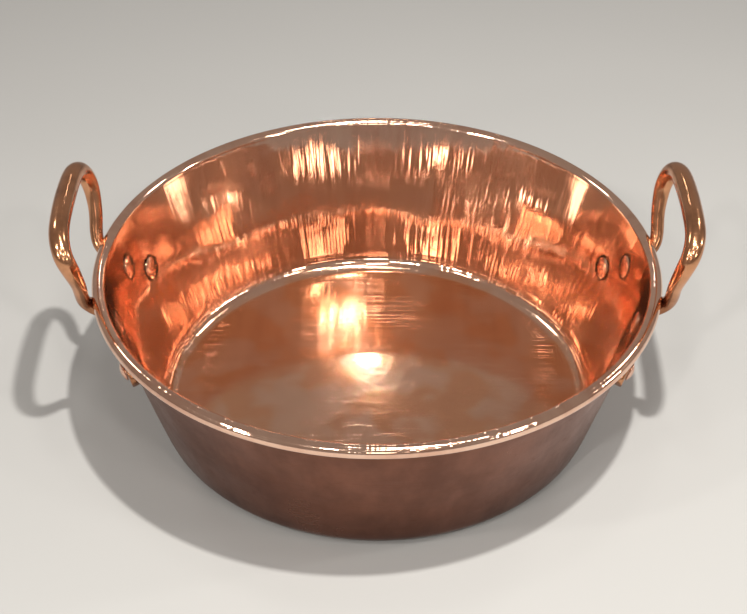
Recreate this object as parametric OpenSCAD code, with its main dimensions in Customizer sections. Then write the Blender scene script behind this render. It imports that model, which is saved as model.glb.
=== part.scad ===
// Two-handled copper preserving pan: a wide, shallow, flared pan raised from one
// sheet, its edge rolled outward over a wire, with two forged loop handles, each
// held by two rivets through each foot.
// Origin: centre of the underside. +Z up. The handles stand on the +X and -X sides.

/* [Pan] */
// Diameter over the rolled rim
rim_d = 380; // [340:5:420]
// Height from the underside to the top of the rim
pan_h = 118; // [108:1:130]
// Radius at which the outer wall would meet the underside, without its rounded corner
foot_r = 152; // [142:1:158]
// Thickness of the copper sheet
sheet_t = 1.6; // [1.2:0.1:2.2]
// Outer radius of the rounded corner between wall and base
corner_r = 14; // [8:1:20]

/* [Rolled rim] */
// Outside diameter of the roll
bead_d = 8.8; // [7.5:0.1:10]
// Angle of the slot left where the roll comes back to the wall
roll_gap = 24; // [10:1:40]

/* [Handles] */
// Thickness of the handle at the middle of the grip
grip_d = 13.6; // [11:0.1:15]
// Thickness of a leg where it passes the rim
leg_d = 9.4; // [8:0.1:10.5]
// Thickness of the flattened foot
foot_t = 5.2; // [4:0.1:6]
// Width of the flattened foot
foot_w = 18; // [15:0.5:20]
// Height of the grip's centreline above the top of the rim
grip_rise = 48; // [40:1:54]
// How far the grip stands out beyond the rim
grip_reach = 12; // [10:0.5:16]
// Angle by which both handles sit in front of the pan's middle line
handle_skew = 2; // [0:0.5:3]

/* [Rivets] */
// Diameter of the rivet shank
shank_d = 6.4; // [5:0.1:7]
// Diameter of the flat head inside the pan
inner_head_d = 15.4; // [12:0.1:16]
// Height of the inside head
inner_head_h = 1.7; // [1.2:0.1:2.5]
// Diameter of the domed head on the handle's foot
outer_head_d = 12.6; // [10:0.1:13.5]
// Height of the outside head
outer_head_h = 3.2; // [2:0.1:4]

/* [Hidden] */

rim_r = rim_d / 2;
bead_r = bead_d / 2;
bead_cr = rim_r - bead_r;              // radius of the ring through the roll's centre
bead_z = pan_h - bead_r;
wire_r = bead_r - sheet_t;
// The inner wall runs tangent to the roll's inner side, so the wall's lean from the
// vertical follows from two circles: the roll and the corner point at the base.
wall_dr = bead_cr - foot_r;
wall_off = bead_r - sheet_t;           // roll centre to outer wall face
wall_lean = atan(wall_dr / bead_z) - asin(wall_off / norm([wall_dr, bead_z]));
copper = [0.74, 0.40, 0.26];
bronze = [0.62, 0.36, 0.22];

// Rivet places on the wall: distance along Y and height
rivet_upper = [32, pan_h - 27];
rivet_lower = [56, pan_h - 45.5];
seat_gap = 0.25;                       // air between a flat part and the curved wall
hole_reach = 20;                       // length of a rivet hole's cutter to each side
ring_sides = 20;
ring_steps = 4;                        // rings between two stations of the centreline

// Outer wall radius at a height
function wall_r(z) = foot_r + z * tan(wall_lean);

// A point at a distance off the outer wall face, by its Y and height
function on_wall(y, z, off) =
  let (r = wall_r(z) + off * cos(wall_lean))
  [sqrt(r * r - y * y), y, z - off * sin(wall_lean)];

// ---------------------------------------------------------------- pan body

// Section of the sheet: base, rounded corner and straight flared wall
module wall_section() {
  lean = wall_lean;
  turn = 90 - lean;                    // angle through which the corner bends
  set_back = corner_r * tan(turn / 2);
  cx = foot_r - set_back;
  steps = 16;
  arc = [for (i = [0:steps]) -90 + turn * i / steps];
  top = bead_z;
  dx = sheet_t / cos(lean);
  polygon(concat(
    [[0, 0]],
    [for (a = arc) [cx + corner_r * cos(a), corner_r + corner_r * sin(a)]],
    [[wall_r(top), top], [wall_r(top) - dx, top]],
    [for (i = [steps:-1:0])
      let (a = arc[i], q = corner_r - sheet_t)
      [cx + q * cos(a), corner_r + q * sin(a)]],
    [[0, sheet_t]]
  ));
}

// The roll: a ring of sheet round the wire, open by a slot below the wall's outside
module roll_section() {
  slot_len = bead_r * 1.5;
  translate([bead_cr, bead_z])
    difference() {
      circle(r = bead_r);
      circle(r = wire_r);
      rotate(-90 - wall_lean - roll_gap)
        polygon([[0, 0],
                 slot_len * [cos(roll_gap / 2), -sin(roll_gap / 2)],
                 slot_len * [cos(roll_gap / 2), sin(roll_gap / 2)]]);
    }
}

// Puts what is drawn on the +X side, about Y = 0, where a handle sits
module on_side(left) {
  mirror([left, 0, 0]) rotate([0, 0, -handle_skew]) children();
}

// The four rivet holes of the handle on the +X side
module rivet_holes() {
  for (front = [0, 1], p = [rivet_upper, rivet_lower])
    mirror([0, front, 0]) at_rivet(p)
      translate([0, 0, -hole_reach]) cylinder(h = 2 * hole_reach, d = shank_d, $fn = 48);
}

module pan_body() {
  color(copper)
    difference() {
      rotate_extrude($fn = 180) {
        wall_section();
        roll_section();
      }
      for (left = [0, 1]) on_side(left) rivet_holes();
    }
}

module rim_wire() {
  color("dimgray")
    rotate_extrude($fn = 180) translate([bead_cr, bead_z]) circle(r = wire_r);
}

// ---------------------------------------------------------------- handles

// Stations along half a handle, from the tip of its foot to the middle of the grip:
// [point, half thickness, half width, squareness], squareness 0 being round
foot_half = foot_t / 2;
function foot_station(y, z, w, lift = 0) =
  [on_wall(y, z, foot_half + seat_gap + lift), foot_half, w, 1];
function leg_station(out, y, up, h, w, sq) =
  let (r = rim_r + out)
  [[sqrt(r * r - y * y), y, pan_h + up], h, w, sq];
function grip_station(reach, y, up, size) =
  [[rim_r + reach * grip_reach, y, pan_h + up], size * grip_half, size * grip_half, 0];
leg_half = leg_d / 2;
grip_half = grip_d / 2;
half_stations = [
  foot_station(64, pan_h - 51.5, foot_w * 0.28),
  foot_station(61.5, pan_h - 49.6, foot_w * 0.42),
  foot_station(55, pan_h - 44.8, foot_w * 0.5),
  foot_station(44, pan_h - 36.5, foot_w * 0.45),
  foot_station(34.5, pan_h - 29, foot_w * 0.48),
  foot_station(30.4, pan_h - 18.8, foot_w * 0.38, 0.7),
  leg_station(1.6, 32.6, -11, leg_half * 0.88, leg_half * 1.15, 0.5),
  leg_station(leg_half + 0.8, 36.4, -3.5, leg_half * 0.96, leg_half * 0.96, 0),
  leg_station(leg_half + 2.3, 43.8, 13, leg_half * 1.02, leg_half * 1.02, 0),
  leg_station(leg_half + 5.8, 49.8, 0.6 * grip_rise, grip_half * 0.84, grip_half * 0.84, 0),
  grip_station(0.66, 48.6, 0.84 * grip_rise, 0.92),
  grip_station(0.9, 37.5, 0.985 * grip_rise, 0.97),
  grip_station(1, 17, grip_rise + 1.8, 1)
];

function flip_y(s) = [[s[0][0], -s[0][1], s[0][2]], s[1], s[2], s[3]];
half_count = len(half_stations);
stations = concat(half_stations, [for (i = [half_count - 1:-1:0]) flip_y(half_stations[i])]);
last_station = len(stations) - 1;

// Smooth curve through the stations (Catmull-Rom), for points and for numbers alike
function blend(a, b, c, d, t) =
  0.5 * (2 * b + (c - a) * t + (2 * a - 5 * b + 4 * c - d) * t * t
         + (3 * b - a - 3 * c + d) * t * t * t);
function pick(i, k) = stations[min(max(i, 0), last_station)][k];
function track(i, t, k) = blend(pick(i - 1, k), pick(i, k), pick(i + 1, k), pick(i + 2, k), t);
rings = [
  for (i = [0:last_station - 1], j = [0:ring_steps - 1])
    let (t = j / ring_steps) [track(i, t, 0), track(i, t, 1), track(i, t, 2), track(i, t, 3)],
  stations[last_station]
];
ring_count = len(rings);

function unit(v) = v / norm(v);
function tangent(i) = unit(rings[min(i + 1, ring_count - 1)][0] - rings[max(i - 1, 0)][0]);
// Direction of the outside of the wall at a point
function outward(p) = unit([p[0], p[1], -norm([p[0], p[1]]) * tan(wall_lean)]);
function across(v, t) = unit(v - (v * t) * t);

// One ring of points: round, or flattened with rounded corners
function ring_points(i) =
  let (p = rings[i][0], t = tangent(i), n = across(outward(p), t), b = cross(t, n),
       e = 1 - 0.5 * min(max(rings[i][3], 0), 1))
  [for (k = [0:ring_sides - 1])
    let (a = 360 * k / ring_sides, c = cos(a), s = sin(a))
    p + n * rings[i][1] * sign(c) * pow(abs(c), e) + b * rings[i][2] * sign(s) * pow(abs(s), e)];

module handle_bar() {
  points = [for (i = [0:ring_count - 1]) each ring_points(i)];
  first_cap = [for (k = [0:ring_sides - 1]) k];
  last_cap = [for (k = [ring_sides - 1:-1:0]) (ring_count - 1) * ring_sides + k];
  sides = [
    for (i = [0:ring_count - 2], k = [0:ring_sides - 1])
      let (a = i * ring_sides + k, b = i * ring_sides + (k + 1) % ring_sides)
      each [[a, a + ring_sides, b], [b, a + ring_sides, b + ring_sides]]
  ];
  polyhedron(points = points, faces = concat([first_cap], sides, [last_cap]));
}

module handle(left) {
  color(bronze)
    on_side(left)
      difference() {
        handle_bar();
        rivet_holes();
      }
}

module handle_right() { handle(0); }
module handle_left() { handle(1); }

// ---------------------------------------------------------------- rivets

// Moves its children to a rivet on the right rear foot, with Z out of the wall
module at_rivet(p) {
  r = wall_r(p[1]);
  rotate([0, 0, asin(p[0] / r)])
    translate([r, 0, p[1]])
      rotate([0, 90 + wall_lean, 0])
        children();
}

// A low dome on a short straight edge
module rivet_head(d, h) {
  edge = h * 0.3;
  rise = h - edge;
  dome_r = (d * d / 4 + rise * rise) / (2 * rise);
  cylinder(h = edge, d = d, $fn = 48);
  translate([0, 0, edge])
    intersection() {
      translate([0, 0, rise - dome_r]) sphere(r = dome_r, $fn = 96);
      cylinder(h = h, d = d, $fn = 48);
    }
}

module rivet() {
  inner_seat = -sheet_t - 0.2;
  outer_seat = foot_t + 2 * seat_gap;
  color(copper) {
    translate([0, 0, inner_seat]) mirror([0, 0, 1]) rivet_head(inner_head_d, inner_head_h);
    translate([0, 0, inner_seat]) cylinder(h = outer_seat - inner_seat, d = shank_d, $fn = 48);
    translate([0, 0, outer_seat]) rivet_head(outer_head_d, outer_head_h);
  }
}

module rivet_at(left, front, p) {
  on_side(left) mirror([0, front, 0]) at_rivet(p) rivet();
}

module rivet_right_front_upper() { rivet_at(0, 1, rivet_upper); }
module rivet_right_front_lower() { rivet_at(0, 1, rivet_lower); }
module rivet_right_rear_upper() { rivet_at(0, 0, rivet_upper); }
module rivet_right_rear_lower() { rivet_at(0, 0, rivet_lower); }
module rivet_left_front_upper() { rivet_at(1, 1, rivet_upper); }
module rivet_left_front_lower() { rivet_at(1, 1, rivet_lower); }
module rivet_left_rear_upper() { rivet_at(1, 0, rivet_upper); }
module rivet_left_rear_lower() { rivet_at(1, 0, rivet_lower); }

pan_body();
rim_wire();
handle_right();
handle_left();
rivet_right_front_upper();
rivet_right_front_lower();
rivet_right_rear_upper();
rivet_right_rear_lower();
rivet_left_front_upper();
rivet_left_front_lower();
rivet_left_rear_upper();
rivet_left_rear_lower();
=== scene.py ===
import math

import bmesh
import bpy
from bpy.props import FloatProperty, FloatVectorProperty, IntProperty, PointerProperty
from mathutils import Matrix, Vector, noise


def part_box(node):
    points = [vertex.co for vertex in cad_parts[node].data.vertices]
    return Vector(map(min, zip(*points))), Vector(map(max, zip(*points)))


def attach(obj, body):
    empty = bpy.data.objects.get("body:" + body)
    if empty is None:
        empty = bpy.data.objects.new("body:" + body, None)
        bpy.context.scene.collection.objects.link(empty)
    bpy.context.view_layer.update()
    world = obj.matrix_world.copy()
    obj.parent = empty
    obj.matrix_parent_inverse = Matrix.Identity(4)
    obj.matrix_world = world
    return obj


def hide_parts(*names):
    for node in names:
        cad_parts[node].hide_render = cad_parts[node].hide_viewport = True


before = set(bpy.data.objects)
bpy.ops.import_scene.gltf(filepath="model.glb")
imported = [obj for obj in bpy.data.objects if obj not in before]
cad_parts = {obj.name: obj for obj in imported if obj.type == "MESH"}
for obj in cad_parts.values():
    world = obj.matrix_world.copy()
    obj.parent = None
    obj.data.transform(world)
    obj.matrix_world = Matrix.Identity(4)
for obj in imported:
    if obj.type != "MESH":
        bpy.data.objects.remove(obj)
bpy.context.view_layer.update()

bl_info = {
    "name": "Copper Preserving Pan",
    "version": (1, 0, 0),
    "blender": (4, 5, 0),
    "location": "3D View > Sidebar > Pan",
    "description": "Builds a riveted two-handled copper preserving pan and its studio",
    "category": "Add Mesh",
}

MM = 0.001
BODY = "root"

# ---------------------------------------------------------------- sizes read from the frame

_, PAN_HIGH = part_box("pan_body")
WIRE_LOW, WIRE_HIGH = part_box("rim_wire")
RIM_RADIUS = PAN_HIGH.x
PAN_HEIGHT = PAN_HIGH.z
WIRE_RADIUS = (WIRE_HIGH.z - WIRE_LOW.z) / 2
ROLL_RING = WIRE_HIGH.x - WIRE_RADIUS
ROLL_RADIUS = RIM_RADIUS - ROLL_RING
ROLL_HEIGHT = PAN_HEIGHT - ROLL_RADIUS
SHEET = ROLL_RADIUS - WIRE_RADIUS

# Divisions of the pan's profile, of a handle's bar and of a rivet
BASE_STEPS, CORNER_STEPS, WALL_STEPS, ROLL_STEPS = 20, 10, 26, 26
BAR_SIDES, STATION_STEPS = 20, 5
RIVET_SIDES, DOME_STEPS = 40, 6

# Direction from the middle of the roll to its end, on a wall that stands upright
ROLL_END = math.radians(-102)

# Sign of X and name of each handle's side
SIDES = ((1, "right"), (-1, "left"))


# ---------------------------------------------------------------- settings

class PanSizes(bpy.types.PropertyGroup):
    """Sizes of the raised sheet"""

    foot_radius: FloatProperty(
        name="Foot radius", description="Where the outer wall would meet the underside",
        default=152 * MM, min=0.14, max=0.16, unit="LENGTH")
    corner_radius: FloatProperty(
        name="Corner radius", description="Outer radius of the corner between wall and base",
        default=14 * MM, min=0.008, max=0.02, unit="LENGTH")
    unevenness: FloatProperty(
        name="Unevenness", description="How far hand raising leaves the wall from a true cone",
        default=0.42 * MM, min=0, max=0.001, unit="LENGTH")
    segments: IntProperty(
        name="Segments", description="Divisions around the pan", default=224, min=64, max=256)


class HandleSizes(bpy.types.PropertyGroup):
    """Sizes of the forged handles"""

    grip_thickness: FloatProperty(
        name="Grip", description="Thickness at the middle of the grip",
        default=13.6 * MM, unit="LENGTH")
    leg_thickness: FloatProperty(
        name="Leg", description="Thickness of a leg beside the rim",
        default=9.4 * MM, unit="LENGTH")
    foot_thickness: FloatProperty(
        name="Foot thickness", description="Thickness of the flattened foot",
        default=5.2 * MM, unit="LENGTH")
    foot_width: FloatProperty(
        name="Foot width", description="Width of the flattened foot",
        default=18 * MM, unit="LENGTH")
    grip_rise: FloatProperty(
        name="Rise", description="Height of the grip above the rim",
        default=48 * MM, unit="LENGTH")
    grip_reach: FloatProperty(
        name="Reach", description="How far the grip stands out past the rim",
        default=12 * MM, unit="LENGTH")
    skew: FloatProperty(
        name="Skew", description="Angle by which both handles sit in front of the middle line",
        default=math.radians(2), subtype="ANGLE")


class RivetSizes(bpy.types.PropertyGroup):
    """Sizes of the rivets"""

    shank: FloatProperty(
        name="Shank", description="Diameter of the shank", default=6.4 * MM, unit="LENGTH")
    inner_head: FloatProperty(
        name="Inner head", description="Diameter of the flat head inside the pan",
        default=15.4 * MM, unit="LENGTH")
    inner_height: FloatProperty(
        name="Inner height", description="Height of the head inside the pan",
        default=1.7 * MM, unit="LENGTH")
    outer_head: FloatProperty(
        name="Outer head", description="Diameter of the domed head on the foot",
        default=12.6 * MM, unit="LENGTH")
    outer_height: FloatProperty(
        name="Outer height", description="Height of the domed head on the foot",
        default=3.2 * MM, unit="LENGTH")


def colour_property(name, description, default):
    """A colour between black and white"""
    return FloatVectorProperty(
        name=name, description=description, subtype="COLOR", size=3, min=0, max=1, default=default)


class MetalColours(bpy.types.PropertyGroup):
    """Colours of the metals"""

    inside: colour_property("Inside", "Polished copper inside the pan", (0.95, 0.65, 0.50))
    inside_warm: colour_property("Inside warm", "Orange tint of the copper", (0.93, 0.49, 0.29))
    tarnish: colour_property("Tarnish", "Dark red tarnish on the copper", (0.55, 0.21, 0.12))
    # Partly duller copper and partly a painted dark reflection: darkened to stand for the dark
    # surroundings that the outer wall reflects
    outside: colour_property("Outside", "Duller copper outside the pan", (0.235, 0.092, 0.054))
    # Brown patina, and also the colour of the painted shade low on the outer wall, under the rim
    # and round the rivets inside
    outside_dark: colour_property(
        "Outside dark", "Brown patina outside the pan", (0.09, 0.034, 0.020))
    bronze: colour_property("Handle", "Polished handle metal", (0.74, 0.37, 0.20))
    bronze_dark: colour_property("Handle dark", "Brown patina on the handles", (0.25, 0.095, 0.045))
    iron: colour_property("Wire", "Iron wire inside the rim", (0.22, 0.21, 0.20))


class StudioSettings(bpy.types.PropertyGroup):
    """Camera and lights"""

    distance: FloatProperty(
        name="Camera distance", description="From the camera to the point it looks at",
        default=0.9672, unit="LENGTH")
    elevation: FloatProperty(
        name="Camera elevation", description="Angle of the camera above the pan",
        default=math.radians(37.38), subtype="ANGLE")
    aim: FloatVectorProperty(
        name="Aim", description="Point that the camera looks at",
        default=(-0.0023, 0, PAN_HEIGHT - 0.0426), subtype="TRANSLATION")
    lens: FloatProperty(
        name="Lens", description="Focal length on a 36 mm wide sensor", default=67.5, unit="CAMERA")
    floor: colour_property("Floor", "Plain pale floor", (0.38, 0.385, 0.385))
    backdrop: colour_property("Backdrop", "Soft light from all round", (0.32, 0.285, 0.26))


# ---------------------------------------------------------------- modelling helpers

def clear_selection():
    """Leaves edit mode with nothing selected"""
    if bpy.context.object and bpy.context.object.mode != "OBJECT":
        bpy.ops.object.mode_set(mode="OBJECT")
    bpy.ops.object.select_all(action="DESELECT")


def start_piece(name):
    """Names the primitive that was just added and opens it in edit mode"""
    piece = bpy.context.active_object
    piece.name = name
    piece.data.name = name
    bpy.ops.object.mode_set(mode="EDIT")
    return piece


def select_where(piece, test):
    """Selects the vertices whose place passes the test, and what lies between them"""
    mesh = bmesh.from_edit_mesh(piece.data)
    mesh.select_mode = {"VERT"}
    for vert in mesh.verts:
        vert.select = test(vert.co)
    mesh.select_flush_mode()
    bmesh.update_edit_mesh(piece.data)


def apply_modifier(piece, name, kind, **settings):
    """Adds a modifier to the active piece and applies it"""
    modifier = piece.modifiers.new(name, kind)
    for key, value in settings.items():
        setattr(modifier, key, value)
    bpy.ops.object.modifier_apply(modifier=modifier.name)


def finish_piece(piece, material_slot, *nodes):
    """Rides a finished piece on the pan and lets it stand for its CAD nodes"""
    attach(piece, BODY)
    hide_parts(*nodes)


# ---------------------------------------------------------------- pan

def wall_lean(pan):
    """Lean of the wall, whose inner face runs tangent to the roll"""
    out = ROLL_RING - pan.foot_radius
    return math.atan2(out, ROLL_HEIGHT) - math.asin(WIRE_RADIUS / math.hypot(out, ROLL_HEIGHT))


def wall_radius(pan, height):
    """Radius of the outer wall at a height"""
    return pan.foot_radius + height * math.tan(wall_lean(pan))


def flat_radius(pan):
    """Radius at which the flat base starts to bend up"""
    turn = math.pi / 2 - wall_lean(pan)
    return pan.foot_radius - pan.corner_radius * math.tan(turn / 2)


def arc(centre, radius, start, end, steps):
    """Points along an arc in the radius and height plane, its first point left out"""
    angles = [start + (end - start) * i / steps for i in range(1, steps + 1)]
    return [(centre[0] + radius * math.cos(a), centre[1] + radius * math.sin(a)) for a in angles]


def inner_profile(pan):
    """Inner face of the sheet, from near the middle of the base to the end of the roll"""
    lean = wall_lean(pan)
    flat = flat_radius(pan)
    points = [(flat * i / BASE_STEPS, SHEET) for i in range(1, BASE_STEPS + 1)]
    corner = (flat, pan.corner_radius)
    points += arc(corner, pan.corner_radius - SHEET, -math.pi / 2, -lean, CORNER_STEPS)
    low = points[-1]
    roll = (ROLL_RING, ROLL_HEIGHT)
    high = (roll[0] - ROLL_RADIUS * math.cos(lean), roll[1] + ROLL_RADIUS * math.sin(lean))
    for i in range(1, WALL_STEPS + 1):
        t = i / WALL_STEPS
        points.append((low[0] + (high[0] - low[0]) * t, low[1] + (high[1] - low[1]) * t))
    points += arc(roll, ROLL_RADIUS, math.pi - lean, ROLL_END - lean, ROLL_STEPS)
    return points


def hand_raised(pan, place):
    """How far the sheet stands off its true shape at a place, left by hand raising"""
    radius = math.hypot(place.x, place.y)
    around = math.atan2(place.y, place.x)
    up = min(max(place.z / PAN_HEIGHT, 0), 1)
    wall = min(max((radius - flat_radius(pan)) / pan.corner_radius, 0), 1)
    # The wall keeps its true shape at the corner and at the roll
    fade = wall * math.sin(math.pi * min(up * 1.02, 1))
    upright = math.sin(19 * around + 0.8 * math.sin(3 * around)) * 0.35
    upright += math.sin(31 * around + 1.7 + 2 * up) * 0.2
    soft = noise.noise(place * 26 + Vector((3.1, 7.7, 1.9))) * 1.1
    # The base only rises, so that nothing reaches below the surface it stands on
    dish = 0.45 + noise.noise(place * 11 + Vector((9.2, 2.3, 4.4))) * 0.45
    dish *= min(max(1 - radius / flat_radius(pan), 0) * 4, 1)
    return pan.unevenness * (fade * (upright + soft) + (1 - wall) * dish)


def build_pan(pan):
    """Raises the sheet ring by ring from a disc, rolls its edge and gives it thickness"""
    profile = inner_profile(pan)
    first = profile[0][0]
    clear_selection()
    bpy.ops.mesh.primitive_circle_add(
        vertices=pan.segments, radius=first, fill_type="TRIFAN", location=(0, 0, SHEET))
    bpy.ops.object.transform_apply(location=True)
    piece = start_piece("copper_pan")
    select_where(piece, lambda co: co.xy.length > first / 2)
    for (radius, height), (next_radius, next_height) in zip(profile, profile[1:]):
        bpy.ops.mesh.extrude_edges_move(
            TRANSFORM_OT_translate={"value": (0, 0, next_height - height)})
        scale = next_radius / radius
        bpy.ops.transform.resize(value=(scale, scale, 1), center_override=(0, 0, next_height))
    bpy.ops.mesh.select_all(action="SELECT")
    bpy.ops.mesh.normals_make_consistent(inside=False)
    bpy.ops.object.mode_set(mode="OBJECT")
    turn_up(piece)
    for vert in piece.data.vertices:
        vert.co += vert.normal * hand_raised(pan, vert.co)
    apply_modifier(piece, "sheet", "SOLIDIFY", thickness=SHEET, offset=-1, use_even_offset=True)
    bpy.ops.object.shade_smooth_by_angle(angle=math.radians(40))
    return piece


def turn_up(piece):
    """Makes the face at the middle of the base look up, and all the others with it"""
    middle = min(piece.data.polygons, key=lambda face: face.center.xy.length)
    if middle.normal.z < 0:
        bpy.ops.object.mode_set(mode="EDIT")
        bpy.ops.mesh.flip_normals()
        bpy.ops.object.mode_set(mode="OBJECT")


def is_outside(pan, place):
    """Whether a place on the pan is on the outer face of the sheet, below the roll"""
    radius = place.xy.length
    if place.z > ROLL_HEIGHT - ROLL_RADIUS * 0.5:
        return False
    if radius < flat_radius(pan):
        return place.z < SHEET / 2
    if place.z < pan.corner_radius:
        corner = Vector((flat_radius(pan), pan.corner_radius))
        return (Vector((radius, place.z)) - corner).length > pan.corner_radius - SHEET / 2
    return radius > wall_radius(pan, place.z) - SHEET / 2 / math.cos(wall_lean(pan))


# ---------------------------------------------------------------- handles

def on_wall(pan, across, height, off):
    """A point that stands off the outer wall, by its place across and its height"""
    lean = wall_lean(pan)
    radius = wall_radius(pan, height) + off * math.cos(lean)
    return Vector((math.sqrt(radius ** 2 - across ** 2), across, height - off * math.sin(lean)))


def past_rim(out, across, up):
    """A point beside the rim: distance out from it, place across, height above it"""
    radius = RIM_RADIUS + out
    return Vector((math.sqrt(radius ** 2 - across ** 2), across, PAN_HEIGHT + up))


def half_handle(pan, bar):
    """Stations from the tip of a foot to the middle of the grip

    Each one is a place, half thickness, half width and squareness.
    """
    half_foot = bar.foot_thickness / 2
    wide = bar.foot_width
    leg = bar.leg_thickness / 2
    grip = bar.grip_thickness / 2
    gap = 0.25 * MM
    rise, reach = bar.grip_rise, bar.grip_reach

    def foot(across, down, width, lift=0):
        place = on_wall(pan, across, PAN_HEIGHT - down, half_foot + gap + lift)
        return place, half_foot, width * wide, 1

    def leg_at(out, across, up, thick, width, square=0):
        return past_rim(out, across, up), thick * leg, width * leg, square

    def grip_at(part, across, up, size):
        place = Vector((RIM_RADIUS + part * reach, across, PAN_HEIGHT + up))
        return place, size * grip, size * grip, 0

    upper = past_rim(leg + 5.8 * MM, 49.8 * MM, 0.6 * rise)
    return [
        foot(64.8 * MM, 52.1 * MM, 0.16),
        foot(64 * MM, 51.5 * MM, 0.28),
        foot(61.5 * MM, 49.6 * MM, 0.42),
        foot(55 * MM, 44.8 * MM, 0.5),
        foot(44 * MM, 36.5 * MM, 0.45),
        foot(34.5 * MM, 29 * MM, 0.48),
        foot(30.4 * MM, 18.8 * MM, 0.38, 0.7 * MM),
        leg_at(1.6 * MM, 32.6 * MM, -11 * MM, 0.88, 1.15, 0.5),
        leg_at(leg + 0.8 * MM, 36.4 * MM, -3.5 * MM, 0.96, 0.96),
        leg_at(leg + 2.3 * MM, 43.8 * MM, 13 * MM, 1.02, 1.02),
        (upper, 0.84 * grip, 0.84 * grip, 0),
        grip_at(0.66, 48.6 * MM, 0.84 * rise, 0.92),
        grip_at(0.9, 37.5 * MM, 0.985 * rise, 0.97),
        grip_at(1, 17 * MM, rise + 1.8 * MM, 1),
    ]


def blend(a, b, c, d, t):
    """Catmull-Rom blend between b and c, for places and for numbers alike"""
    return (b * 2 + (c - a) * t + (a * 2 - b * 5 + c * 4 - d) * t ** 2
            + (b * 3 - a - c * 3 + d) * t ** 3) * 0.5


def handle_rings(pan, bar):
    """Stations of the whole bar, close together along a smooth curve"""
    half = half_handle(pan, bar)
    other = [(Vector((p.x, -p.y, p.z)), h, w, s) for p, h, w, s in reversed(half)]
    stations = half + other
    last = len(stations) - 1
    rings = []
    for i in range(last):
        around = [stations[min(max(i + k, 0), last)] for k in (-1, 0, 1, 2)]
        for j in range(STATION_STEPS):
            t = j / STATION_STEPS
            rings.append([blend(*(s[part] for s in around), t) for part in range(4)])
    rings.append(list(stations[-1]))
    return rings


def ring_frame(pan, rings, i):
    """Matrix that carries a unit circle to a ring: X through the wall, Y across the bar"""
    ahead = rings[min(i + 1, len(rings) - 1)][0] - rings[max(i - 1, 0)][0]
    along = ahead.normalized()
    place, thick, wide, _ = rings[i]
    out = Vector((place.x, place.y, -place.xy.length * math.tan(wall_lean(pan))))
    through = (out - along * out.dot(along)).normalized()
    across = along.cross(through)
    turn = Matrix((through * thick, across * wide, along * MM)).transposed().to_4x4()
    return Matrix.Translation(place) @ turn


def squared(value, power):
    """A coordinate on a unit circle, moved towards a square by a power below 1"""
    return math.copysign(abs(value) ** power, value)


def carry_ring(piece, old, new, old_square, new_square):
    """Carries the selected ring of the bar from one station to the next"""
    mesh = bmesh.from_edit_mesh(piece.data)
    back = old.inverted()
    for vert in mesh.verts:
        if vert.select:
            flat = back @ vert.co
            x, y = (squared(squared(v, 1 / old_square), new_square) for v in flat.xy)
            vert.co = new @ Vector((x, y, 0))
    bmesh.update_edit_mesh(piece.data)


def build_handle(pan, bar, name, side):
    """Draws a bar out ring by ring from the tip of one foot to the tip of the other"""
    rings = handle_rings(pan, bar)
    frames = [ring_frame(pan, rings, i) for i in range(len(rings))]
    squares = [1 - 0.5 * min(max(ring[3], 0), 1) for ring in rings]
    clear_selection()
    bpy.ops.mesh.primitive_circle_add(vertices=BAR_SIDES, radius=1, fill_type="NGON")
    piece = start_piece(name)
    carry_ring(piece, Matrix.Identity(4), frames[0], 1, squares[0])
    for i in range(1, len(rings)):
        bpy.ops.mesh.extrude_region_move()
        carry_ring(piece, frames[i - 1], frames[i], squares[i - 1], squares[i])
    round_tips(piece)
    bpy.ops.mesh.select_all(action="SELECT")
    bpy.ops.mesh.normals_make_consistent(inside=False)
    bpy.ops.object.mode_set(mode="OBJECT")
    for vert in piece.data.vertices:
        vert.co += vert.normal * noise.noise(vert.co * 55 + Vector((side, 0, 0))) * 0.28 * MM
    turn = Matrix.Rotation(-bar.skew, 4, "Z")
    if side < 0:
        turn = Matrix.Scale(-1, 4, (1, 0, 0)) @ turn
    piece.data.transform(turn)
    if side < 0:
        piece.data.flip_normals()
    apply_modifier(piece, "smooth", "SUBSURF", levels=1, render_levels=1)
    bpy.ops.object.shade_smooth()
    return piece


def round_tips(piece):
    """Insets the two end faces of the bar so that they stay round when smoothed"""
    mesh = bmesh.from_edit_mesh(piece.data)
    mesh.select_mode = {"FACE"}
    for face in mesh.faces:
        face.select = len(face.verts) > 4
    mesh.select_flush_mode()
    bmesh.update_edit_mesh(piece.data)
    bpy.ops.mesh.inset(thickness=0.8 * MM, use_individual=True)
    bpy.ops.mesh.select_mode(type="VERT")


# ---------------------------------------------------------------- rivets

# Distance across from the middle of the handle, and height
RIVET_PLACES = {
    "upper": (32 * MM, PAN_HEIGHT - 27 * MM),
    "lower": (56 * MM, PAN_HEIGHT - 45.5 * MM),
}


def rivet_matrix(pan, bar, side, front, place):
    """Where a rivet sits, with Z out through the wall"""
    across, height = RIVET_PLACES[place]
    radius = wall_radius(pan, height)
    turn = math.asin(across / radius) * (-1 if front else 1) - bar.skew
    stand = Matrix.Rotation(math.pi / 2 + wall_lean(pan), 4, "Y")
    seat = Matrix.Rotation(turn, 4, "Z") @ Matrix.Translation((radius, 0, height)) @ stand
    if side < 0:
        seat = Matrix.Rotation(math.pi, 4, "Z") @ Matrix.Rotation(-2 * turn, 4, "Z") @ seat
    return seat


def rivet_seats(pan, bar):
    """CAD node and seat of each rivet"""
    for side, side_name in SIDES:
        for front, end_name in ((True, "front"), (False, "rear")):
            for place in RIVET_PLACES:
                node = f"rivet_{side_name}_{end_name}_{place}"
                yield node, rivet_matrix(pan, bar, side, front, place)


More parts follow.
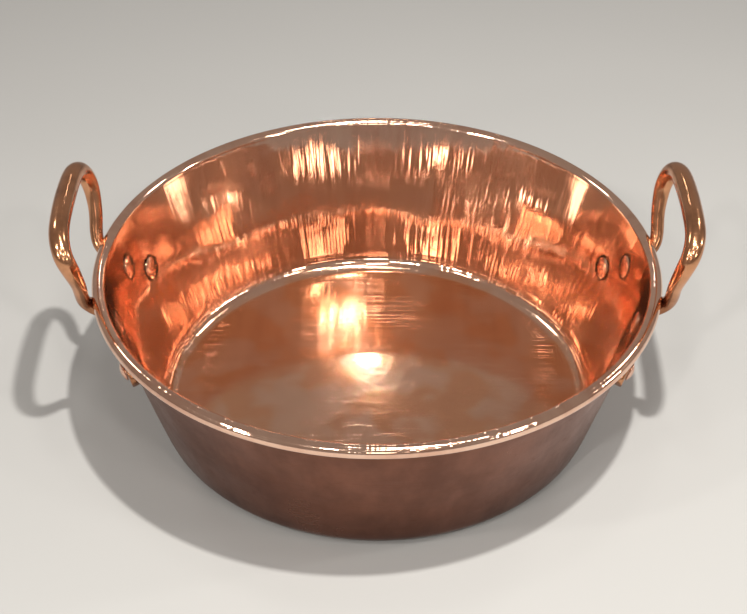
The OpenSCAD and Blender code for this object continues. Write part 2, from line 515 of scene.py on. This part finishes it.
def head(base, wide, high, up):
    """Spreads the selected end of a shank of radius base into a low head: an edge and a dome"""
    half = wide / 2
    edge, rise = high * 0.3, high * 0.7
    dome = (half ** 2 + rise ** 2) / (2 * rise)
    rings = [(half * 0.97, 0.0), (half, high * 0.1), (half, high * 0.24)]
    for i in range(1, DOME_STEPS + 1):
        ring = half * math.cos(math.radians(90 * i / (DOME_STEPS + 0.6))) * 0.985
        rings.append((ring, edge + math.sqrt(dome ** 2 - ring ** 2) - (dome - rise)))
    radius, level = base, 0.0
    for ring, height in rings:
        bpy.ops.mesh.extrude_region_move(
            TRANSFORM_OT_translate={"value": (0, 0, up * (height - level))})
        scale = ring / radius
        bpy.ops.transform.resize(value=(scale, scale, 1), center_override=(0, 0, 0))
        radius, level = ring, height


def build_rivet(bar, rivet):
    """One set rivet along Z: flat head inside the pan, domed head on the foot"""
    inner = -SHEET - 0.2 * MM
    outer = bar.foot_thickness + 0.5 * MM
    middle = (outer + inner) / 2
    shank = rivet.shank / 2
    clear_selection()
    bpy.ops.mesh.primitive_cylinder_add(
        vertices=RIVET_SIDES, radius=shank, depth=outer - inner, location=(0, 0, middle))
    bpy.ops.object.transform_apply(location=True)
    piece = start_piece("rivet")
    select_where(piece, lambda co: co.z < middle)
    head(shank, rivet.inner_head, rivet.inner_height, -1)
    select_where(piece, lambda co: co.z > outer - 0.01 * MM)
    head(shank, rivet.outer_head, rivet.outer_height, 1)
    bpy.ops.mesh.select_all(action="SELECT")
    bpy.ops.mesh.normals_make_consistent(inside=False)
    bpy.ops.object.mode_set(mode="OBJECT")
    return piece


def place_rivet(model, name, matrix, seed):
    """Copies the model rivet to its seat, struck a little differently each time"""
    piece = bpy.data.objects.new(name, model.data.copy())
    bpy.context.scene.collection.objects.link(piece)
    shift = Vector((seed * 3.7, seed * 1.3, 0))
    for vert in piece.data.vertices:
        struck = noise.noise(vert.co * 240 + shift) * 0.3 * MM
        edge = min(vert.co.xy.length / (5 * MM), 1)
        swell = 1 + 40 * struck
        vert.co = (vert.co.x * swell, vert.co.y * swell, vert.co.z + struck * 0.7 * edge)
    piece.data.transform(matrix @ Matrix.Rotation(seed * 0.9, 4, "Z"))
    clear_selection()
    piece.select_set(True)
    bpy.context.view_layer.objects.active = piece
    bpy.ops.object.shade_smooth_by_angle(angle=math.radians(50))
    return piece


# ---------------------------------------------------------------- shader expressions

class Field:
    """A shader socket that can be used in Python expressions"""

    def __init__(self, shader, socket):
        self.shader = shader
        self.socket = socket

    def math(self, operation, *others):
        """Another field, worked out from this one"""
        return self.shader.node("ShaderNodeMath", {"operation": operation}, self, *others)

    def __add__(self, other):
        return self.math("ADD", other)

    __radd__ = __add__

    def __sub__(self, other):
        return self.math("SUBTRACT", other)

    def __rsub__(self, other):
        return self.shader.node("ShaderNodeMath", {"operation": "SUBTRACT"}, other, self)

    def __mul__(self, other):
        return self.math("MULTIPLY", other)

    __rmul__ = __mul__

    def __truediv__(self, other):
        return self.math("DIVIDE", other)

    def __pow__(self, power):
        return self.math("POWER", power)

    def abs(self):
        return self.math("ABSOLUTE")

    def clamped(self):
        return self.shader.node("ShaderNodeClamp", {}, self)

    def ramp(self, low, high, start=0.0, end=1.0):
        """A smooth step: start below low, end above high"""
        return self.shader.node(
            "ShaderNodeMapRange", {"interpolation_type": "SMOOTHSTEP", "clamp": True},
            self, low, high, start, end)


class Shader:
    """A material's node tree with its Principled node"""

    def __init__(self, name):
        self.material = bpy.data.materials.new(name)
        self.material.use_nodes = True
        self.tree = self.material.node_tree
        self.surface = self.tree.nodes["Principled BSDF"]

    def node(self, kind, settings, *values, out=0):
        """Adds a node, feeds its inputs in order and returns one of its outputs"""
        made = self.tree.nodes.new(kind)
        for key, value in settings.items():
            setattr(made, key, value)
        sockets = [s for s in made.inputs if s.enabled]
        for socket, value in zip(sockets, values):
            self.set(socket, value)
        enabled = [s for s in made.outputs if s.enabled]
        return Field(self, enabled[out])

    def set(self, socket, value):
        """Feeds an input with a field, a colour or a number"""
        if isinstance(value, Field):
            self.tree.links.new(value.socket, socket)
        elif hasattr(value, "__len__") and len(value) == 3 and socket.type == "RGBA":
            socket.default_value = (*value, 1)
        else:
            socket.default_value = value

    def place(self):
        """Object coordinates, in metres"""
        return self.node("ShaderNodeTexCoord", {}, out=3)

    def parts(self, vector):
        """The three parts of a vector"""
        split = self.node("ShaderNodeSeparateXYZ", {}, vector)
        return [Field(self, s) for s in split.socket.node.outputs]

    def vector(self, x, y, z):
        """A vector from three numbers or fields"""
        return self.node("ShaderNodeCombineXYZ", {}, x, y, z)

    def noise(self, vector, scale, detail=3.0, rough=0.5):
        """Clouds between 0 and 1"""
        settings = {"noise_dimensions": "3D"}
        return self.node("ShaderNodeTexNoise", settings, vector, scale, detail, rough)

    def cells(self, vector, scale):
        """Distance to soft round cells, for hammer marks"""
        return self.node("ShaderNodeTexVoronoi", {"feature": "SMOOTH_F1"}, vector, scale)

    def mix(self, factor, a, b):
        """Colour a at factor 0 and colour b at factor 1"""
        made = self.tree.nodes.new("ShaderNodeMix")
        made.data_type = "RGBA"
        for index, value in ((0, factor), (6, a), (7, b)):
            self.set(made.inputs[index], value)
        return Field(self, made.outputs[2])

    def bump(self, height, distance):
        """Makes the surface look as uneven as the height says"""
        bump = self.tree.nodes.new("ShaderNodeBump")
        bump.inputs["Distance"].default_value = distance
        self.set(bump.inputs["Height"], height)
        self.set(self.surface.inputs["Normal"], Field(self, bump.outputs["Normal"]))

    def finish(self, colour, roughness, metallic=1.0):
        """Feeds the surface and returns the material"""
        self.set(self.surface.inputs["Base Color"], colour)
        self.set(self.surface.inputs["Roughness"], roughness)
        self.set(self.surface.inputs["Metallic"], metallic)
        return self.material


def line_field(value, middle, width, core=0):
    """1 on the thin line where a field passes a value, 0 off it"""
    return 1 - (value - middle).abs().ramp(core, width)


def around_axis(shader, place, turns, lift):
    """A vector that varies round the pan and up it, with no seam, and the radius and height"""
    x, y, z = shader.parts(place)
    radius = (x * x + y * y) ** 0.5
    return shader.vector(x / radius * turns, y / radius * turns, z * lift), radius, z


# ---------------------------------------------------------------- metals

RUST = (0.16, 0.07, 0.04)


def scratches(shader, place, turn, long, fine, width):
    """Thin straight scratches in one direction"""
    turned = shader.node(
        "ShaderNodeMapping", {}, place, (0, 0, 0), (0, 0, turn), (long, fine, fine))
    field = shader.noise(turned, 1.0, 1.0)
    return line_field(field, 0.5, width)


def rivet_shade(shader, place, seats, near, far):
    """1 nearer than near to a rivet's seat, 0 further than far from them all"""
    nearest = None
    for seat in seats:
        away = shader.node("ShaderNodeVectorMath", {"operation": "DISTANCE"}, place, seat)
        away = Field(shader, away.socket.node.outputs["Value"])
        nearest = away if nearest is None else nearest.math("MINIMUM", away)
    return nearest.ramp(near, far, 1, 0)


def inside_copper(colours, pan, seats):
    """Polished copper: cloudy tarnish, upright streaks on the beaten wall, scratched base"""
    shader = Shader("inside_copper")
    place = shader.place()
    wall_way, radius, height = around_axis(shader, place, 11.0, 6.0)
    fine_way, _, _ = around_axis(shader, place, 46.0, 14.0)
    flat = flat_radius(pan)
    wall = radius.ramp(flat, flat + pan.corner_radius)
    clouds = shader.noise(place, 13.0, 4.0, 0.55)
    streaks = shader.noise(wall_way, 1.0, 3.0, 0.55)
    fine = shader.noise(fine_way, 1.0, 3.0)
    haze = shader.noise(place, 60.0, 3.0, 0.6)
    marks = scratches(shader, place, 0.6, 7, 150, 0.006)
    marks = marks.math("MAXIMUM", scratches(shader, place, -0.5, 6, 120, 0.005))
    marks = marks.math("MAXIMUM", scratches(shader, place, 1.35, 7, 180, 0.005)) * (1 - wall)
    stain = (clouds * 0.55 + streaks * wall * 0.5 + (1 - wall) * 0.22).ramp(0.42, 0.68)
    warm = shader.noise(place, 24.0, 2.0).ramp(0.42, 0.66)
    warmth = (0.45 + warm) * (0.90 - 0.80 * wall)
    colour = shader.mix(warmth, colours.inside, colours.inside_warm)
    colour = shader.mix(stain * (0.15 + 0.40 * fine), colour, colours.tarnish)
    crease = line_field(radius, flat + 10 * MM, 5 * MM, 1 * MM)
    colour = shader.mix(crease * 0.25 * clouds, colour, colours.tarnish)
    # Painted shadow: a dark ring round each rivet head inside the pan, standing in for the shadow
    # line at the head's edge; the copper there is also rougher
    painted_rivet_shadow = rivet_shade(shader, place, seats, 8.8 * MM, 10.8 * MM) * (0.6 + 0.5 * haze)
    colour = shader.mix(painted_rivet_shadow, colour, colours.outside_dark)
    roughness = 0.035 + 0.12 * painted_rivet_shadow + 0.05 * (1 - wall) + 0.05 * stain + 0.04 * fine * wall
    roughness = roughness + 0.03 * haze + 0.05 * marks
    beaten = shader.noise(place, 7.0, 1.0).ramp(0.38, 0.62, 0.22, 1.6) * wall
    up_wall = ((height - pan.corner_radius) / (ROLL_HEIGHT - pan.corner_radius)).clamped()
    bow = (up_wall * math.pi).math("SINE") * 1.2
    relief = beaten * (streaks * 0.70 + fine * 0.13) + clouds * 0.35 + haze * 0.02 + bow * wall
    shader.bump(relief - marks * 0.01, 1.1 * MM)
    return shader.finish(colour, roughness)


def outside_copper(colours):
    """Duller copper with a brown patina in clouds, and painted shade low down and under the rim"""
    shader = Shader("outside_copper")
    place = shader.place()
    wall_way, _, height = around_axis(shader, place, 4.0, 14.0)
    band_way, _, _ = around_axis(shader, place, 1.2, 260.0)
    clouds = shader.noise(place, 15.0, 5.0, 0.6)
    wall = height.ramp(2 * MM, 16 * MM)
    streaks = (shader.noise(wall_way, 2.0, 4.0, 0.6) - 0.5) * wall + 0.5
    bands = shader.noise(band_way, 1.0, 2.0)
    marks = scratches(shader, place, 0.9, 10, 170, 0.012)
    # Painted shade: darker towards the base, standing in for the dark floor and shadow seen in the
    # bottom corner
    low = height.ramp(4 * MM, 30 * MM, 1, 0)
    # Painted shade in a band just under the rolled rim
    painted_rim_shade = height.ramp(ROLL_HEIGHT - 14 * MM, ROLL_HEIGHT - 4 * MM)
    painted_rim_shade = painted_rim_shade * height.ramp(ROLL_HEIGHT - 4 * MM, ROLL_HEIGHT - 1 * MM, 1, 0)
    patina = (clouds * 0.7 + streaks * 0.5).ramp(0.42, 0.80)
    # Patina clouds mixed with the painted shade low down and under the rim
    dark = (patina * 0.6 + low * 0.45 + painted_rim_shade * 0.4).clamped()
    colour = shader.mix(dark, colours.outside, colours.outside_dark)
    roughness = 0.24 + 0.12 * patina + 0.06 * bands + 0.08 * marks
    hammered = shader.cells(place, 58.0)
    relief = hammered * 0.35 + bands * 0.05 + streaks * 0.2 - marks * 0.03
    shader.bump(relief, 0.6 * MM)
    return shader.finish(colour, roughness)


def handle_bronze(colours):
    """Forged handle metal: bright where hands rub it, brown in its hollows and feet"""
    shader = Shader("handle_bronze")
    place = shader.place()
    _, _, height = shader.parts(place)
    clouds = shader.noise(place, 42.0, 4.0, 0.6)
    grain = shader.noise(place, 320.0, 3.0)
    marks = scratches(shader, place, 0.2, 30, 260, 0.02)
    rubbed = height.ramp(PAN_HEIGHT - 20 * MM, PAN_HEIGHT + 30 * MM)
    brown = (clouds * 0.9 + 0.25 - rubbed * 0.22).ramp(0.35, 0.85)
    colour = shader.mix(brown * 0.85, colours.bronze, colours.bronze_dark)
    roughness = 0.12 + 0.12 * brown + 0.05 * grain + 0.05 * marks
    dents = shader.noise(place, 70.0, 1.0)
    shader.bump(dents * 1.2 + grain * 0.05 - marks * 0.03, 0.4 * MM)
    return shader.finish(colour, roughness)


def rivet_copper(colours):
    """Hammered copper rivets"""
    shader = Shader("rivet_copper")
    place = shader.place()
    clouds = shader.noise(place, 160.0, 3.0)
    struck = shader.cells(place, 330.0)
    colour = shader.mix(clouds.ramp(0.3, 0.7) * 0.6, colours.inside, colours.tarnish)
    roughness = 0.07 + 0.10 * clouds
    shader.bump(struck * 0.4 + clouds * 0.2, 0.4 * MM)
    return shader.finish(colour, roughness)


def wire_iron(colours):
    """Drawn iron wire"""
    shader = Shader("wire_iron")
    place = shader.place()
    rust = shader.noise(place, 180.0, 3.0)
    colour = shader.mix(rust.ramp(0.45, 0.7), colours.iron, RUST)
    shader.bump(rust, 0.2 * MM)
    return shader.finish(colour, 0.35 + 0.3 * rust)


# ---------------------------------------------------------------- operators

class PAN_OT_body(bpy.types.Operator):
    """Build the raised copper pan with its rolled rim"""

    bl_idname = "pan.body"
    bl_label = "Pan"
    bl_options = {"REGISTER", "UNDO"}

    def execute(self, context):
        scene = context.scene
        pan, bar = scene.pan_sizes, scene.handle_sizes
        piece = build_pan(pan)
        seats = [matrix.translation for _, matrix in rivet_seats(pan, bar)]
        piece.data.materials.append(inside_copper(scene.metal_colours, pan, seats))
        piece.data.materials.append(outside_copper(scene.metal_colours))
        for face in piece.data.polygons:
            face.material_index = 1 if is_outside(pan, face.center) else 0
        finish_piece(piece, "pan_copper", "pan_body")
        return {"FINISHED"}


class PAN_OT_wire(bpy.types.Operator):
    """Give the wire inside the rolled rim its metal"""

    bl_idname = "pan.wire"
    bl_label = "Rim wire"
    bl_options = {"REGISTER", "UNDO"}

    def execute(self, context):
        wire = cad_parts["rim_wire"]
        wire.data.materials.clear()
        wire.data.materials.append(wire_iron(context.scene.metal_colours))
        return {"FINISHED"}


class PAN_OT_handles(bpy.types.Operator):
    """Build the two forged handles"""

    bl_idname = "pan.handles"
    bl_label = "Handles"
    bl_options = {"REGISTER", "UNDO"}

    def execute(self, context):
        scene = context.scene
        metal = handle_bronze(scene.metal_colours)
        for side, name in SIDES:
            piece = build_handle(scene.pan_sizes, scene.handle_sizes, f"forged_handle_{name}", side)
            piece.data.materials.append(metal)
            finish_piece(piece, "handle_bronze", f"handle_{name}")
        return {"FINISHED"}


class PAN_OT_rivets(bpy.types.Operator):
    """Build and set the eight rivets"""

    bl_idname = "pan.rivets"
    bl_label = "Rivets"
    bl_options = {"REGISTER", "UNDO"}

    def execute(self, context):
        scene = context.scene
        pan, bar = scene.pan_sizes, scene.handle_sizes
        metal = rivet_copper(scene.metal_colours)
        model = build_rivet(bar, scene.rivet_sizes)
        for seed, (node, matrix) in enumerate(rivet_seats(pan, bar), start=1):
            piece = place_rivet(model, f"set_{node}", matrix, seed)
            piece.data.materials.append(metal)
            finish_piece(piece, "rivet_copper", node)
        bpy.data.objects.remove(model)
        return {"FINISHED"}


# Name, degrees round from the front to the right, degrees up, width in metres, watts
LAMPS = (
    ("crown", 31, 73.5, 0.05, 19.5),
    ("overhead", 0, 90, 0.16, 1.05),
    ("front_left", 342, 42, 0.07, 3.9),
    ("front_right", 18, 42, 0.09, 1.95),
    ("front_low", 0, 22, 0.30, 0.9),
    ("front_high", 0, 60, 0.12, 1.2),
    ("right_front_low", 45, 22, 0.10, 1.65),
    ("right_front", 54, 42, 0.10, 1.35),
    ("right_front_high", 45, 60, 0.12, 1.2),
    ("right_low", 90, 22, 0.07, 3.3),
    ("rear_right", 126, 42, 0.16, 1.8),
    ("rear", 180.5, 35.4, 0.035, 0.15),
    ("rear_left", 234, 42, 0.20, 1.35),
    ("left_front", 306, 42, 0.08, 2.85),
    ("left_front_low", 315, 22, 0.09, 2.4),
)
LAMP_CENTRE = Vector((0, 0, 0.06))
LAMP_DISTANCE = 1.35
LAMP_COLOUR = (1.0, 0.95, 0.88)
BACKDROP_STRENGTH = 0.85
FLOOR_SIZE = 6


class PAN_OT_studio(bpy.types.Operator):
    """Set up the floor, the backdrop, the lamps and the camera"""

    bl_idname = "pan.studio"
    bl_label = "Studio"
    bl_options = {"REGISTER", "UNDO"}

    def execute(self, context):
        studio = context.scene.studio
        add_floor(studio)
        add_backdrop(studio)
        for lamp in LAMPS:
            add_lamp(*lamp)
        add_camera(studio)
        # The other transforms turn strong highlights on copper pink
        context.scene.view_settings.view_transform = "Standard"
        return {"FINISHED"}


def add_floor(studio):
    """A plain pale floor, very slightly cloudy"""
    clear_selection()
    bpy.ops.mesh.primitive_plane_add(size=FLOOR_SIZE, location=(0, 0, 0))
    floor = bpy.context.active_object
    floor.name = "floor"
    shader = Shader("pale_floor")
    soft = shader.noise(shader.place(), 3.0, 2.0)
    dim = [0.94 * channel for channel in studio.floor]
    colour = shader.mix(soft, dim, studio.floor)
    floor.data.materials.append(shader.finish(colour, 0.75, metallic=0.0))


def add_backdrop(studio):
    """Even soft light from all round"""
    world = bpy.data.worlds.new("soft_room")
    world.use_nodes = True
    background = world.node_tree.nodes["Background"]
    background.inputs["Color"].default_value = (*studio.backdrop, 1)
    background.inputs["Strength"].default_value = BACKDROP_STRENGTH
    bpy.context.scene.world = world


def add_lamp(name, turn, lift, size, power):
    """A round lamp that faces the pan"""
    data = bpy.data.lights.new(name, "AREA")
    data.shape = "DISK"
    data.size = size
    data.energy = power
    data.color = LAMP_COLOUR
    lamp = bpy.data.objects.new(name, data)
    bpy.context.scene.collection.objects.link(lamp)
    turn, lift = math.radians(turn), math.radians(lift)
    level = math.cos(lift)
    away = Vector((level * math.sin(turn), -level * math.cos(turn), math.sin(lift)))
    lamp.location = LAMP_CENTRE + away * LAMP_DISTANCE
    lamp.rotation_euler = away.to_track_quat("Z", "Y").to_euler()


def add_camera(studio):
    """The camera, in front of the pan and looking down on it"""
    data = bpy.data.cameras.new("camera")
    data.sensor_width = 36
    data.lens = studio.lens
    camera = bpy.data.objects.new("camera", data)
    bpy.context.scene.collection.objects.link(camera)
    back = Vector((0, -math.cos(studio.elevation), math.sin(studio.elevation)))
    camera.location = Vector(studio.aim) + back * studio.distance
    camera.rotation_euler = (math.pi / 2 - studio.elevation, 0, 0)
    bpy.context.scene.camera = camera


class PAN_PT_panel(bpy.types.Panel):
    """Sidebar panel that lists the pieces and their sizes"""

    bl_label = "Preserving pan"
    bl_idname = "PAN_PT_panel"
    bl_space_type = "VIEW_3D"
    bl_region_type = "UI"
    bl_category = "Pan"

    def draw(self, context):
        layout = self.layout
        for operator in OPERATORS:
            layout.operator(operator.bl_idname)
        for group in GROUPS:
            box = layout.box()
            box.label(text=group.replace("_", " ").capitalize())
            settings = getattr(context.scene, group)
            for key in settings.__annotations__:
                box.prop(settings, key)


GROUPS = {
    "pan_sizes": PanSizes,
    "handle_sizes": HandleSizes,
    "rivet_sizes": RivetSizes,
    "metal_colours": MetalColours,
    "studio": StudioSettings,
}
OPERATORS = (PAN_OT_body, PAN_OT_wire, PAN_OT_handles, PAN_OT_rivets, PAN_OT_studio)


def register():
    for group in GROUPS.values():
        bpy.utils.register_class(group)
    for operator in OPERATORS:
        bpy.utils.register_class(operator)
    bpy.utils.register_class(PAN_PT_panel)
    for name, group in GROUPS.items():
        setattr(bpy.types.Scene, name, PointerProperty(type=group))


def unregister():
    for name in GROUPS:
        delattr(bpy.types.Scene, name)
    bpy.utils.unregister_class(PAN_PT_panel)
    for operator in reversed(OPERATORS):
        bpy.utils.unregister_class(operator)
    for group in reversed(GROUPS.values()):
        bpy.utils.unregister_class(group)


def main():
    register()
    bpy.ops.pan.body()
    bpy.ops.pan.wire()
    bpy.ops.pan.handles()
    bpy.ops.pan.rivets()
    bpy.ops.pan.studio()


if __name__ == "__main__":
    main()
